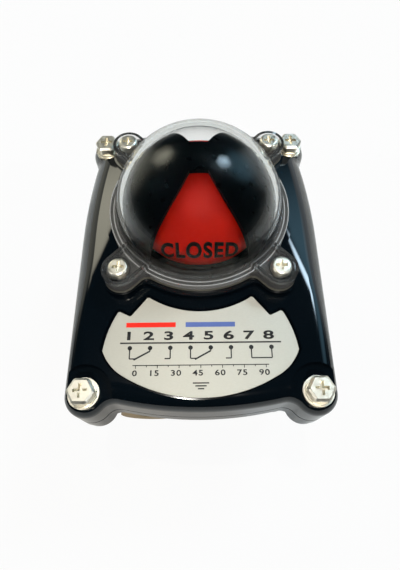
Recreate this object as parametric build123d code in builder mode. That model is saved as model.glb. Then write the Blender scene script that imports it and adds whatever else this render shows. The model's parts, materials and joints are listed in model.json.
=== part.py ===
from build123d import *

import os
from math import asin, cos, degrees, hypot, radians, sin, sqrt, tan

# Valve limit switch box: the weatherproof case on top of a quarter-turn valve actuator.
# Its shaft follows the valve stem, works two microswitches through cams, and turns an
# indicator under a clear dome. Units are millimetres. The origin is on the shaft's axis at the
# mounting face under the base, +Z is up, and -Y is the end with the nameplate and cable entries.

# ---- driving dimensions -------------------------------------------------------------------

# base and cover outline
half_width = 44.0
front_y = -71.5
rear_y = 43.5
screw_front_y = -66.0
screw_rear_y = 33.0
lobe_radius = 7.0
rear_lobe_radius = 6.4
straight_end_y = -8.0
lobe_blend = 5.0

# base housing
joint_z = 36.0
floor = 5.0
wall = 3.6
draft = 1.0
body_inset = 5.4
body_front_y = -64.5
body_rear_y = 38.5
body_corner = 9.0
rim_height = 6.0
corner_boss_z = 24.5
seal_width = 2.0
seal_depth = 1.6
seal_gap = 0.7

# cover
seat_z = 54.0
crown_z = 52.2
screw_seat_z = 50.0
cover_wall = 3.4
edge_round = 6.0
seat_margin = 1.9
front_seat_radius = 9.0
rear_seat_radius = 5.6

# nameplate
plate_tip_x = 17.9
plate_tip_y = -33.4
plate_notch_x = 23.6
plate_notch_y = -40.6
plate_shoulder_x = 27.7
plate_shoulder_y = -38.6
plate_half_width = 32.1
plate_widest_y = -52.5
plate_turn_x = 29.0
plate_turn_y = -57.5
plate_corner_x = 24.2
plate_corner_y = -61.2
plate_hollow_y = -38.9
plate_front_y = -67.8
plate_flank_x = 30.7
plate_flank_y = -45.6

# dome, its seal and the mask in it
dome_radius = 30.2
dome_wall = 2.4
dome_centre_z = 57.0
flange_margin = 2.4
flange_height = 2.4
dome_seal = 1.5
ear_overhang = 5.6
ear_radius = 5.9
ear_height = 5.2
ear_wall = 1.1
ear_blend = 3.0
mask_wall = 1.4
mask_gap = 0.7
window_tip_y = 5.5
window_tip_x = 2.9
window_side_x = 10.4
window_side_y = 15.8
window_end_x = 16.0
window_end_y = 20.3
window_foot = 3.5

# indicator rotor
rotor_gap = 2.6
rotor_wall = 1.5
hub_disc = 2.0

# shaft
shaft_radius = 6.0
output_radius = 5.5
output_top_z = -0.5
neck_radius = 4.0
tongue_z = -15.0
tongue_height = 4.0
tongue_thickness = 4.0
boss_height = 15.0
bush_wall = 2.0
running_gap = 0.05
clip_thickness = 1.0

# cams
shoulder_height = 1.7
hub_foot = 1.8
spline_teeth = 20
spline_root = 7.0
spline_tip = 8.0
spline_gap = 0.15
spline_height = 1.6
cam_thickness = 7.0
cam_low = 9.8
cam_high = 11.8
cam_seat_gap = 0.1
cam_gap = 0.15
cam_lift = 1.8

# microswitches
switch_length = 27.8
switch_height = 15.9
switch_thickness = 10.3
insulator = 0.5
lever_arm = 14.0
roller_radius = 2.4
roller_width = 3.2
plunger_arm = 6.0

# terminal strip
pole_count = 8
barrier = 1.2
ear_length = 6.0
strip_end_space = 7.0
strip_width = 13.0
strip_z = 30.0
strip_front_y = -58.5

# cable entries
entry_x = 19.0
entry_z = 16.5
entry_radius = 9.5
entry_boss = 1.0

# screws
m3 = 1.5
m4 = 2.0
m5 = 2.5
thread_gap = 0.08
hole_gap = 0.3

# ---- levels and places that several pieces share ------------------------------------------

seat_play = 0.05
thrust_thickness = 0.8
thrust_z = boss_height + seat_play
shoulder_z = thrust_z + thrust_thickness + seat_play
hub_foot_z = shoulder_z + shoulder_height
lower_cam_z = hub_foot_z + hub_foot + cam_seat_gap
switch_pitch = switch_thickness + insulator
upper_cam_z = lower_cam_z + switch_pitch
lower_switch_z = lower_cam_z + cam_thickness / 2
upper_switch_z = lower_switch_z + switch_pitch
plate_thickness = 1.2
plate_z = lower_switch_z - switch_thickness / 2 - seat_play - plate_thickness
strip_thickness = 0.5
roller_y = -(cam_high + cam_gap + roller_radius)
lever_rise = roller_radius + 0.4 + strip_thickness / 2
pivot_x = -lever_arm
pivot_y = roller_y - lever_rise
pivot_height = 1.3
switch_top_y = pivot_y - pivot_height
switch_left_x = pivot_x - 2.8
lever_swing = degrees(asin((cam_high - cam_low) / lever_arm))

cover_z = joint_z + seal_gap
screw_x = half_width - lobe_radius
body_half_width = half_width - body_inset
flange_radius = dome_radius + flange_margin
seat_radius = flange_radius + seat_margin
ear_reach = flange_radius + ear_overhang
ear_offset = ear_reach / sqrt(2)
screw_places = [
    (-screw_x, screw_front_y),
    (screw_x, screw_front_y),
    (-screw_x, screw_rear_y),
    (screw_x, screw_rear_y),
]
body_centre_y = (body_front_y + body_rear_y) / 2
pole_pitch = 2 * (body_half_width - wall - strip_end_space) / pole_count
strip_length = pole_count * pole_pitch + barrier
body_size = (2 * body_half_width, body_rear_y - body_front_y)
cavity_size = (body_size[0] - 2 * wall, body_size[1] - 2 * wall)


def on_circle(centre, radius, angle):
    """The point of a circle at an angle in degrees from +X."""
    return (
        centre[0] + radius * cos(radians(angle)),
        centre[1] + radius * sin(radians(angle)),
    )


def case_outline():
    """The outline that cover and base rim share: bulged ends, tapered flanks, four screw lobes."""
    front_lobe = (screw_x, screw_front_y)
    rear_lobe = (screw_x, screw_rear_y)
    dip = on_circle(front_lobe, lobe_radius, 196)
    waist = on_circle(rear_lobe, rear_lobe_radius, -52)
    rear_dip = on_circle(rear_lobe, rear_lobe_radius, 104)
    with BuildSketch() as outline:
        with BuildLine():
            ThreePointArc((-dip[0], dip[1]), (0, front_y), dip)
            CenterArc(front_lobe, lobe_radius, 196, 164)
            Line((half_width, screw_front_y), (half_width, straight_end_y))
            TangentArc((half_width, straight_end_y), waist, tangent=(0, 1))
            CenterArc(rear_lobe, rear_lobe_radius, -52, 156)
            ThreePointArc(rear_dip, (0, rear_y), (-rear_dip[0], rear_dip[1]))
            CenterArc((-screw_x, screw_rear_y), rear_lobe_radius, 76, 156)
            TangentArc((-half_width, straight_end_y), (-waist[0], waist[1]), tangent=(0, 1))
            Line((-half_width, straight_end_y), (-half_width, screw_front_y))
            CenterArc((-screw_x, screw_front_y), lobe_radius, 180, 164)
        make_face()
        hollows = outline.vertices().filter_by(
            lambda corner: any(
                hypot(abs(corner.X) - place[0], corner.Y - place[1]) < 0.01
                for place in (dip, waist, rear_dip)
            )
        )
        fillet(hollows, radius=lobe_blend)
    return outline.sketch


def body_sketch(size, corner):
    """A rounded rectangle on the base body's centre."""
    with BuildSketch() as shape:
        with Locations((0, body_centre_y)):
            RectangleRounded(size[0], size[1], corner)
    return shape.sketch


def eared_disc(radius, ear):
    """A disc with four rounded ears on its diagonals, blended where they meet it."""
    root = radius - ear / 2
    with BuildSketch() as shape:
        Circle(radius)
        with PolarLocations((ear_reach + root) / 2, 4, start_angle=45):
            SlotCenterToCenter(ear_reach - root, 2 * ear)
        corners = shape.vertices().filter_by(
            lambda corner: abs(hypot(corner.X, corner.Y) - radius) < 0.01
        )
        fillet(corners, radius=ear_blend)
    return shape.sketch


outline = case_outline()

# ---- base housing -------------------------------------------------------------------------

bush_radius = shaft_radius + bush_wall
bracket_hole_x = 25.0
bracket_hole_y = 14.0
bracket_hole_depth = 8.0
post_radius = 4.2
strip_post_x = strip_length / 2 + ear_length / 2 + 0.2
strip_centre_y = strip_front_y + strip_width / 2
plate_post_x = (-24.0, 17.0)
plate_post_y = -37.5
earth_place = (26.0, -36.0)
earth_post_z = 9.0
clip_recess = 2.0
clip_recess_radius = 11.0
cover_hole = m5 + hole_gap
cavity_corner = body_corner - wall
seal_bend = 4.4
boss_inset = 0.4

# the case seal's run: round the cavity, and inside each screw
with BuildSketch() as seal_run:
    add(body_sketch((body_size[0] + 0.8, body_size[1] + 0.8), body_corner))
    with Locations(*screw_places):
        Circle(seal_bend, mode=Mode.SUBTRACT)
with BuildSketch() as seal_plan:
    add(seal_run.sketch)
    add(offset(seal_run.sketch, amount=-seal_width, mode=Mode.PRIVATE), mode=Mode.SUBTRACT)
seal_ring = seal_plan.sketch

with BuildPart() as base_housing:
    # drafted body with the rim that carries the cover and the four screw bosses under it
    with BuildSketch():
        add(body_sketch(body_size, body_corner))
    extrude(amount=joint_z, taper=-draft)
    with BuildSketch(Plane.XY.offset(joint_z - rim_height)):
        add(outline)
    extrude(amount=rim_height)
    with BuildSketch(Plane.XY.offset(corner_boss_z)):
        with Locations(*screw_places[:2]):
            Circle(lobe_radius - boss_inset)
        with Locations(*screw_places[2:]):
            Circle(rear_lobe_radius - boss_inset)
    extrude(amount=joint_z - rim_height - corner_boss_z)
    # cable entry bosses on the front wall
    with BuildSketch(Plane.XZ.offset(-(body_front_y + wall))):
        with Locations((-entry_x, entry_z), (entry_x, entry_z)):
            Circle(entry_radius + 3.4)
    extrude(amount=wall + entry_boss)
    # the cavity, open at the top
    with BuildSketch(Plane.XY.offset(floor)):
        add(body_sketch(cavity_size, cavity_corner))
    extrude(amount=joint_z - floor, taper=-draft, mode=Mode.SUBTRACT)
    # bosses and posts that stand on the floor
    with BuildSketch(Plane.XY.offset(floor)):
        Circle(bush_radius + 3.5)
    extrude(amount=boss_height - floor)
    with BuildSketch(Plane.XY.offset(floor)):
        with GridLocations(2 * bracket_hole_x, 2 * bracket_hole_y, 2, 2):
            Circle(m5 + 3.0)
    extrude(amount=bracket_hole_depth + 3.0 - floor)
    with BuildSketch(Plane.XY.offset(floor)):
        with Locations(*[(x, plate_post_y) for x in plate_post_x]):
            Circle(post_radius)
    extrude(amount=plate_z - floor)
    with BuildSketch(Plane.XY.offset(floor)):
        with Locations((-strip_post_x, strip_centre_y), (strip_post_x, strip_centre_y)):
            Circle(post_radius)
    extrude(amount=strip_z - floor)
    with BuildSketch(Plane.XY.offset(floor)):
        with Locations(earth_place):
            Circle(post_radius)
    extrude(amount=earth_post_z - floor)
    # inner halves of the corner screw bosses, wide enough for the seal to pass inside the screws
    with BuildSketch(Plane.XY.offset(corner_boss_z)):
        with Locations(*screw_places):
            Circle(seal_bend + seal_width + 1.2)
        add(body_sketch(body_size, body_corner), mode=Mode.INTERSECT)
    extrude(amount=joint_z - corner_boss_z)
    # holes: shaft bush, tapped cover holes, tapped bracket holes, tapped posts, cable entries
    with Locations((0, 0, boss_height)):
        Hole(bush_radius, depth=boss_height)
    with Locations((0, 0, clip_recess)):
        Hole(clip_recess_radius - 1.5, depth=clip_recess)
    with Locations(*[(x, y, joint_z) for x, y in screw_places]):
        Hole(m5 - thread_gap, depth=joint_z - corner_boss_z - 1.5)
    with Locations(Plane.XY.rotated((180, 0, 0))):
        with GridLocations(2 * bracket_hole_x, 2 * bracket_hole_y, 2, 2):
            Hole(m5 - 0.4, depth=bracket_hole_depth)
    with Locations(*[(x, plate_post_y, plate_z) for x in plate_post_x]):
        Hole(m3, depth=6.5)
    with Locations(*[(side * strip_post_x, strip_centre_y, strip_z) for side in (-1, 1)]):
        Hole(m3, depth=8.0)
    with Locations((*earth_place, earth_post_z)):
        Hole(m4, depth=6.5)
    with BuildSketch(Plane.XZ.offset(-body_front_y + 4.0)):
        with Locations((-entry_x, entry_z), (entry_x, entry_z)):
            Circle(entry_radius)
    extrude(amount=-(wall + 6.0), mode=Mode.SUBTRACT)
    # groove for the case seal in the rim
    with BuildSketch(Plane.XY.offset(joint_z)):
        add(seal_ring)
    extrude(amount=-seal_depth, mode=Mode.SUBTRACT)

# ---- cover --------------------------------------------------------------------------------

ceiling_z = 48.4
plate_floor_z = 50.7
nameplate_thickness = 0.6
nameplate_gap = 0.7
plate_corner_round = 0.8
ear_places = [(x, y) for x in (-ear_offset, ear_offset) for y in (-ear_offset, ear_offset)]
ear_pad = ear_radius + 0.8
upper_bush_radius = neck_radius + bush_wall
upper_bush_z = 46.5
dome_screw_end = 45.0


def nameplate_outline():
    """The nameplate: hollow towards the dome, notched beside its ears, round towards the front."""
    tip = (plate_tip_x, plate_tip_y)
    notch = (plate_notch_x, plate_notch_y)
    shoulder = (plate_shoulder_x, plate_shoulder_y)
    widest = (plate_half_width, plate_widest_y)
    corner = (plate_corner_x, plate_corner_y)
    with BuildSketch() as plate:
        with BuildLine():
            Line(tip, notch)
            Line(notch, shoulder)
            ThreePointArc(shoulder, (plate_flank_x, plate_flank_y), widest)
            ThreePointArc(widest, (plate_turn_x, plate_turn_y), corner)
            mirror(about=Plane.YZ)
            ThreePointArc((-plate_tip_x, plate_tip_y), (0, plate_hollow_y), tip)
            ThreePointArc(corner, (0, plate_front_y), (-plate_corner_x, plate_corner_y))
        make_face()
        sharp = plate.vertices().filter_by(lambda point: point.Y > plate_widest_y + 1)
        fillet(sharp, radius=plate_corner_round)
    return plate.sketch


nameplate_plan = nameplate_outline()

with BuildPart() as cover:
    with BuildSketch(Plane.XY.offset(cover_z)):
        add(outline)
    extrude(amount=crown_z - cover_z)
    # broad rounding from the top into the flanks
    fillet(cover.faces().sort_by(Axis.Z)[-1].edges(), radius=edge_round)
    # raised seat for the dome's flange and ears
    with BuildSketch(Plane.XY.offset(ceiling_z)):
        add(eared_disc(seat_radius, ear_pad))
    extrude(amount=seat_z - ceiling_z)
    # cavity, then the bosses that hang in it
    with BuildSketch(Plane.XY.offset(cover_z)):
        add(body_sketch(cavity_size, cavity_corner))
    extrude(amount=ceiling_z - cover_z, mode=Mode.SUBTRACT)
    with BuildSketch(Plane.XY.offset(cover_z)):
        with Locations(*screw_places):
            Circle(seal_bend + seal_width + 1.2)
        add(body_sketch(body_size, body_corner), mode=Mode.INTERSECT)
    extrude(amount=ceiling_z - cover_z)
    with BuildSketch(Plane.XY.offset(dome_screw_end)):
        with Locations(*ear_places):
            Circle(m4 + 2.6)
        add(body_sketch(body_size, body_corner), mode=Mode.INTERSECT)
    extrude(amount=ceiling_z - dome_screw_end)
    with BuildSketch(Plane.XY.offset(upper_bush_z)):
        Circle(upper_bush_radius + 3.0)
    extrude(amount=ceiling_z - upper_bush_z)
    # spot faces, screw holes, bush bore and the nameplate's recess
    with BuildSketch(Plane.XY.offset(screw_seat_z)):
        with Locations(*screw_places[:2]):
            Circle(front_seat_radius)
        with Locations(*screw_places[2:]):
            Circle(rear_seat_radius)
    extrude(amount=seat_z - screw_seat_z, mode=Mode.SUBTRACT)
    with Locations(*[(x, y, screw_seat_z) for x, y in screw_places]):
        Hole(cover_hole)
    with Locations(*[(x, y, seat_z) for x, y in ear_places]):
        Hole(m4, depth=seat_z - dome_screw_end - 1.0)
    with Locations((0, 0, seat_z)):
        Hole(upper_bush_radius)
    with BuildSketch(Plane.XY.offset(plate_floor_z)):
        offset(nameplate_plan, amount=nameplate_gap)
    extrude(amount=seat_z - plate_floor_z, mode=Mode.SUBTRACT)

# ---- dome, seal, mask ---------------------------------------------------------------------

dome_foot_z = seat_z + dome_seal
ear_top_z = dome_foot_z + ear_height
ear_floor_z = dome_foot_z + flange_height
ear_root = dome_radius - 1.0
ear_middle = (ear_reach + ear_root) / 2
ear_slot = ear_reach - ear_root
screw_boss_radius = 3.0
dome_hole = m4 + hole_gap
dome_inner = dome_radius - dome_wall
mask_radius = dome_inner - mask_gap
mask_inner = mask_radius - mask_wall


def dome_profile(outer, inner, foot_z, flange=0.0):
    """Half section of a hollow dome on a straight skirt, with an outward flange if it has one."""
    with BuildSketch(Plane.XZ) as section:
        with BuildLine():
            CenterArc((0, dome_centre_z), outer, 0, 90)
            Line((0, dome_centre_z + outer), (0, dome_centre_z + inner))
            CenterArc((0, dome_centre_z), inner, 0, 90)
            Line((inner, dome_centre_z), (inner, foot_z))
            Line((inner, foot_z), (outer, foot_z))
            Line((outer, foot_z), (outer, dome_centre_z))
        make_face()
        if flange:
            with Locations(((inner + flange) / 2, foot_z + flange_height / 2)):
                Rectangle(flange - inner, flange_height)
    return section.sketch


with BuildPart() as dome:
    add(dome_profile(dome_radius, dome_inner, dome_foot_z, flange_radius))
    revolve(axis=Axis.Z)
    # hollow ears: a thin lobe wall with a boss ring round each screw
    with BuildSketch(Plane.XY.offset(dome_foot_z)):
        add(eared_disc(flange_radius, ear_radius))
        Circle(dome_inner + dome_wall / 2, mode=Mode.SUBTRACT)
    extrude(amount=flange_height)
    with BuildSketch(Plane.XY.offset(dome_foot_z)):
        with PolarLocations(ear_middle, 4, start_angle=45):
            SlotCenterToCenter(ear_slot, 2 * ear_radius)
        Circle(dome_inner + dome_wall / 2, mode=Mode.SUBTRACT)
    extrude(amount=ear_height)
    with BuildSketch(Plane.XY.offset(ear_floor_z)):
        with PolarLocations(ear_middle, 4, start_angle=45):
            SlotCenterToCenter(ear_slot, 2 * (ear_radius - ear_wall))
        with Locations(*ear_places):
            Circle(screw_boss_radius, mode=Mode.SUBTRACT)
        Circle(dome_radius + ear_wall, mode=Mode.SUBTRACT)
    extrude(amount=ear_height, mode=Mode.SUBTRACT)
    with BuildSketch(Plane.XY.offset(ear_top_z - 1.0)):
        with Locations(*ear_places):
            Circle(m4 + 1.7)
    extrude(amount=2.0, mode=Mode.SUBTRACT)
    with Locations(*[(x, y, ear_top_z) for x, y in ear_places]):
        Hole(dome_hole)

with BuildPart() as dome_gasket:
    with BuildSketch(Plane.XY.offset(seat_z)):
        add(eared_disc(flange_radius, ear_radius))
        Circle(dome_inner, mode=Mode.SUBTRACT)
        with Locations(*ear_places):
            Circle(dome_hole, mode=Mode.SUBTRACT)
    extrude(amount=dome_seal)

with BuildPart() as indicator_mask:
    add(dome_profile(mask_radius, mask_inner, seat_z))
    revolve(axis=Axis.Z)
    # two opposite windows, narrow at the top and wide at the foot
    with BuildSketch(Plane.XY.offset(dome_centre_z + window_foot)):
        with BuildLine():
            Line((-window_tip_x, -window_tip_y), (window_tip_x, -window_tip_y))
            ThreePointArc(
                (window_tip_x, -window_tip_y),
                (window_side_x, -window_side_y),
                (window_end_x, -window_end_y),
            )
            Line((window_end_x, -window_end_y), (window_end_x, -dome_radius))
            Line((window_end_x, -dome_radius), (-window_end_x, -dome_radius))
            Line((-window_end_x, -dome_radius), (-window_end_x, -window_end_y))
            ThreePointArc(
                (-window_end_x, -window_end_y),
                (-window_side_x, -window_side_y),
                (-window_tip_x, -window_tip_y),
            )
        make_face()
        mirror(about=Plane.XZ)
    extrude(amount=mask_radius, mode=Mode.SUBTRACT)

# ---- nameplate and seals ------------------------------------------------------------------

with BuildPart() as nameplate:
    with BuildSketch(Plane.XY.offset(plate_floor_z)):
        add(nameplate_plan)
    extrude(amount=nameplate_thickness)

with BuildPart() as cover_gasket:
    with BuildSketch(Plane.XY.offset(joint_z - seal_depth)):
        add(seal_ring)
    extrude(amount=seal_depth + seal_gap)

# ---- screws that show ---------------------------------------------------------------------


arm_share = 0.26


def cross_recess(width, depth):
    """The tapered cross of a Phillips drive, cut down from the XY plane."""
    with BuildPart(mode=Mode.PRIVATE) as recess:
        with BuildSketch():
            Rectangle(width, width * arm_share)
            Rectangle(width * arm_share, width)
        extrude(amount=-depth, taper=6)
    return recess.part


head_washer = 1.0
spring_washer = 1.2
cover_washer_radius = 5.0
spring_washer_radius = 4.4
cover_screw_seat = screw_seat_z + head_washer + spring_washer
cover_screw_head = 3.4
cover_screw_flats = 7.8
cover_screw_crown = 0.7
cover_screw_end = corner_boss_z + 3.0
dome_screw_seat = ear_top_z - 1.0
pan_head = 2.5
pan_radius = 3.5

with BuildPart() as cover_screws:
    with Locations(*[(x, y, cover_screw_seat) for x, y in screw_places]):
        Cylinder(
            m5 - 0.16,
            cover_screw_seat - cover_screw_end,
            align=(Align.CENTER, Align.CENTER, Align.MAX),
        )
    with BuildSketch(Plane.XY.offset(cover_screw_seat)):
        with Locations(*screw_places):
            RegularPolygon(cover_screw_flats / 2, 6, major_radius=False)
    extrude(amount=cover_screw_head)
    # the turned crown that rounds the corners of each hexagon
    with BuildSketch(Plane.XY.offset(cover_screw_end)):
        with Locations(*screw_places):
            Circle(cover_screw_flats / 2 + 0.4)
    extrude(amount=cover_screw_seat + cover_screw_head - cover_screw_end, mode=Mode.INTERSECT)
    crowns = cover_screws.faces().filter_by(Axis.Z).group_by(Axis.Z)[-1].edges()
    chamfer(crowns, length=cover_screw_crown)
    with Locations(*[(x, y, cover_screw_seat + cover_screw_head) for x, y in screw_places]):
        add(cross_recess(4.4, 1.9), mode=Mode.SUBTRACT)


def washer_set(places, outer, inner, z, thickness, split=0.0):
    """Flat rings at each place, each cut through on one side if it is a spring washer."""
    with BuildPart() as washers:
        with BuildSketch(Plane.XY.offset(z)):
            with Locations(*places):
                Circle(outer)
                Circle(inner, mode=Mode.SUBTRACT)
            if split:
                with Locations(*[(x + (outer + inner) / 2, y) for x, y in places]):
                    Rectangle(outer, split, rotation=20, mode=Mode.SUBTRACT)
        extrude(amount=thickness)
    return washers


cover_washers = washer_set(screw_places, cover_washer_radius, m5 + 0.15, screw_seat_z, head_washer)
cover_spring_washers = washer_set(
    screw_places,
    spring_washer_radius,
    m5 + 0.1,
    screw_seat_z + head_washer,
    spring_washer,
    split=0.5,
)


def pan_screws(places, seat, end, shank, head, height, recess=2.6):
    """Pan-head screws with a cross recess, one at each place."""
    with BuildPart() as screws:
        with BuildSketch(Plane.XY.offset(end)):
            with Locations(*places):
                Circle(shank)
        extrude(amount=seat - end)
        with BuildSketch(Plane.XY.offset(seat)):
            with Locations(*places):
                Circle(head)
        extrude(amount=height)
        rims = screws.faces().filter_by(Axis.Z).group_by(Axis.Z)[-1].edges()
        fillet(rims, radius=height * 0.42)
        with Locations(*[(x, y, seat + height) for x, y in places]):
            add(cross_recess(recess, height * 0.6), mode=Mode.SUBTRACT)
    return screws


dome_screws = pan_screws(
    ear_places,
    dome_screw_seat,
    dome_screw_end + 1.5,
    m4 - thread_gap,
    pan_radius,
    pan_head,
    recess=3.8,
)

# ---- shaft, bushes and seals --------------------------------------------------------------

ring_section = 0.9
ring_places = (5.0, 9.0)
groove_depth = 2 * ring_section
shoulder_radius = 8.0
hub_radius_inner = 5.0
hub_top_z = upper_cam_z + cam_thickness + 2.4
clip_z = clip_recess - clip_thickness - 0.3
clip_groove_radius = shaft_radius - 0.8
indicator_seat_z = dome_centre_z - hub_disc
key_height = 3.0
pin_z = hub_foot_z + 6.8
pin_radius = 1.2
groove_half = ring_section + 0.1
groove_radius = shaft_radius - groove_depth

with BuildPart() as shaft:
    with BuildSketch(Plane.XZ):
        with BuildLine():
            Polyline(
                (0, tongue_z),
                (output_radius - 0.6, tongue_z),
                (output_radius, tongue_z + 0.6),
                (output_radius, output_top_z),
                (shaft_radius, output_top_z),
                (shaft_radius, clip_z - 0.05),
                (clip_groove_radius, clip_z - 0.05),
                (clip_groove_radius, clip_z + clip_thickness + 0.05),
                (shaft_radius, clip_z + clip_thickness + 0.05),
                (shaft_radius, ring_places[0] - groove_half),
                (groove_radius, ring_places[0] - groove_half),
                (groove_radius, ring_places[0] + groove_half),
                (shaft_radius, ring_places[0] + groove_half),
                (shaft_radius, ring_places[1] - groove_half),
                (groove_radius, ring_places[1] - groove_half),
                (groove_radius, ring_places[1] + groove_half),
                (shaft_radius, ring_places[1] + groove_half),
                (shaft_radius, shoulder_z),
                (shoulder_radius, shoulder_z),
                (shoulder_radius, hub_foot_z),
                (hub_radius_inner, hub_foot_z),
                (hub_radius_inner, hub_top_z),
                (neck_radius, hub_top_z + 1.0),
                (neck_radius, indicator_seat_z),
                (neck_radius - 1.0, indicator_seat_z),
                (neck_radius - 1.0, indicator_seat_z + key_height),
                (0, indicator_seat_z + key_height),
                close=True,
            )
        make_face()
    revolve(axis=Axis.Z)
    # drive tongue at the lower end
    with BuildSketch(Plane.XY.offset(tongue_z)):
        Circle(shaft_radius + 1.0)
        Rectangle(2 * shaft_radius + 3.0, tongue_thickness, mode=Mode.SUBTRACT)
    extrude(amount=tongue_height, mode=Mode.SUBTRACT)
    # flats that key the indicator, its tapped hole, and the cross hole for the hub's pin
    with BuildSketch(Plane.XY.offset(indicator_seat_z)):
        Circle(neck_radius)
        Rectangle(2 * neck_radius, 2 * (neck_radius - 1.6), mode=Mode.SUBTRACT)
    extrude(amount=key_height, mode=Mode.SUBTRACT)
    with Locations((0, 0, indicator_seat_z + key_height)):
        Hole(m3, depth=9.0)
    with BuildSketch(Plane.XZ.offset(-shaft_radius)):
        with Locations((0, pin_z)):
            Circle(pin_radius + running_gap)
    extrude(amount=2 * shaft_radius, mode=Mode.SUBTRACT)


def ring(outer, inner, z, height):
    """A plain ring on the shaft's axis."""
    with BuildPart() as part:
        with BuildSketch(Plane.XY.offset(z)):
            Circle(outer)
            Circle(inner, mode=Mode.SUBTRACT)
        extrude(amount=height)
    return part


shaft_bush = ring(bush_radius, shaft_radius + running_gap, clip_recess, boss_height - clip_recess)
upper_bush = ring(
    upper_bush_radius,
    neck_radius + running_gap,
    upper_bush_z,
    seat_z - upper_bush_z,
)
thrust_washer = ring(
    shoulder_radius + 1.5,
    shaft_radius + 0.15,
    thrust_z,
    thrust_thickness,
)

with BuildPart() as shaft_o_rings:
    for ring_z in ring_places:
        with Locations((0, 0, ring_z)):
            Torus(shaft_radius - ring_section, ring_section - 0.03)

with BuildPart() as shaft_clip:
    with BuildSketch(Plane.XY.offset(clip_z)):
        Circle(shaft_radius + 1.6)
        Circle(clip_groove_radius + 0.05, mode=Mode.SUBTRACT)
        with Locations((0, -shaft_radius - 1.0)):
            Rectangle(7.0, 7.0, mode=Mode.SUBTRACT)
    extrude(amount=clip_thickness)

# ---- cam hub, cams and their spring -------------------------------------------------------

tooth_width = 1.1
spring_wire = 0.4
spring_turns = 2
spring_radius = spline_tip + 1.0
cam_top_z = upper_cam_z + cam_thickness
snap_z = cam_top_z + cam_seat_gap
snap_height = 0.9


def splined(root, tip, width):
    """A round section with straight-sided teeth."""
    with BuildSketch() as section:
        Circle(root)
        with PolarLocations((root + tip) / 2 - 0.2, spline_teeth):
            Rectangle(tip - root + 0.4, width)
        Circle(tip, mode=Mode.INTERSECT)
    return section.sketch


with BuildPart() as cam_hub:
    with BuildSketch(Plane.XY.offset(hub_foot_z)):
        Circle(spline_tip + 3.0)
    extrude(amount=hub_foot)
    with BuildSketch(Plane.XY.offset(hub_foot_z)):
        Circle(spline_root)
    extrude(amount=hub_top_z - hub_foot_z)
    for band_z in (hub_foot_z + hub_foot, cam_top_z - spline_height):
        with BuildSketch(Plane.XY.offset(band_z)):
            add(splined(spline_root, spline_tip, tooth_width))
        extrude(amount=spline_height)
    with BuildSketch(Plane.XY.offset(snap_z - 0.05)):
        Circle(spline_root + 1.0)
        Circle(spline_root - 0.7, mode=Mode.SUBTRACT)
    extrude(amount=snap_height + 0.1, mode=Mode.SUBTRACT)
    with Locations((0, 0, hub_top_z)):
        Hole(hub_radius_inner + 0.02)
    with BuildSketch(Plane.XZ.offset(-spline_tip)):
        with Locations((0, pin_z)):
            Circle(pin_radius + running_gap)
    extrude(amount=2 * spline_tip, mode=Mode.SUBTRACT)

with BuildPart() as hub_pin:
    with BuildSketch(Plane.XZ.offset(-spline_root)):
        with Locations((0, pin_z)):
            Circle(pin_radius)
    extrude(amount=2 * spline_root)
    with BuildSketch(Plane.XY.offset(hub_foot_z)):
        Circle(spline_root)
    extrude(amount=hub_top_z - hub_foot_z, mode=Mode.INTERSECT)

cam_snap_ring = ring(spline_tip + 1.2, spline_root - 0.65, snap_z, snap_height)


def cam(base_z, pressed_angle, released_angle, teeth_z):
    """A cam whose rim rises evenly between its released and its pressed side."""
    side = 1 if released_angle < pressed_angle else -1
    steps = 6
    climb = [
        on_circle(
            (0, 0),
            cam_low + (cam_high - cam_low) * step / steps,
            released_angle + (pressed_angle - released_angle) * step / steps,
        )
        for step in range(steps + 1)
    ]
    crest = on_circle((0, 0), cam_high, pressed_angle + side * 15)
    crest_end = on_circle((0, 0), cam_high, pressed_angle + side * 30)
    fall = on_circle((0, 0), cam_low, pressed_angle + side * 60)
    back = on_circle((0, 0), cam_low, released_angle - side * 105)
    with BuildPart() as body:
        with BuildSketch(Plane.XY.offset(base_z)):
            with BuildLine():
                Spline(*climb)
                ThreePointArc(climb[-1], crest, crest_end)
                Line(crest_end, fall)
                ThreePointArc(fall, back, climb[0])
            make_face()
            Circle(spline_tip + spline_gap, mode=Mode.SUBTRACT)
        extrude(amount=cam_thickness)
        with BuildSketch(Plane.XY.offset(teeth_z)):
            Circle(spline_tip + 1.0)
            add(
                splined(spline_root + spline_gap, spline_tip + 0.2, tooth_width + 2 * spline_gap),
                mode=Mode.SUBTRACT,
            )
        extrude(amount=spline_height)
    return body


closed_cam = cam(lower_cam_z, 270, 180, lower_cam_z)
open_cam = cam(upper_cam_z, 180, 270, cam_top_z - spline_height)

spring_space = switch_pitch - cam_thickness
spring_height = spring_space - 2 * spring_wire - 0.2
with BuildPart() as cam_spring:
    with BuildLine():
        Helix(
            pitch=spring_height / spring_turns,
            height=spring_height,
            radius=spring_radius,
            center=(0, 0, lower_cam_z + cam_thickness + spring_wire + 0.1),
        )
    with BuildSketch(
        Plane(
            origin=(spring_radius, 0, lower_cam_z + cam_thickness + spring_wire + 0.1),
            z_dir=(0, 1, 0),
        )
    ):
        Rectangle(2 * spring_wire, 2 * spring_wire)
    sweep()

# ---- indicator on top of the shaft --------------------------------------------------------

rotor_radius = mask_inner - rotor_gap
rotor_skirt_z = indicator_seat_z + 0.2
sector_inner = rotor_radius - rotor_wall
sector_gap = 0.05

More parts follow.
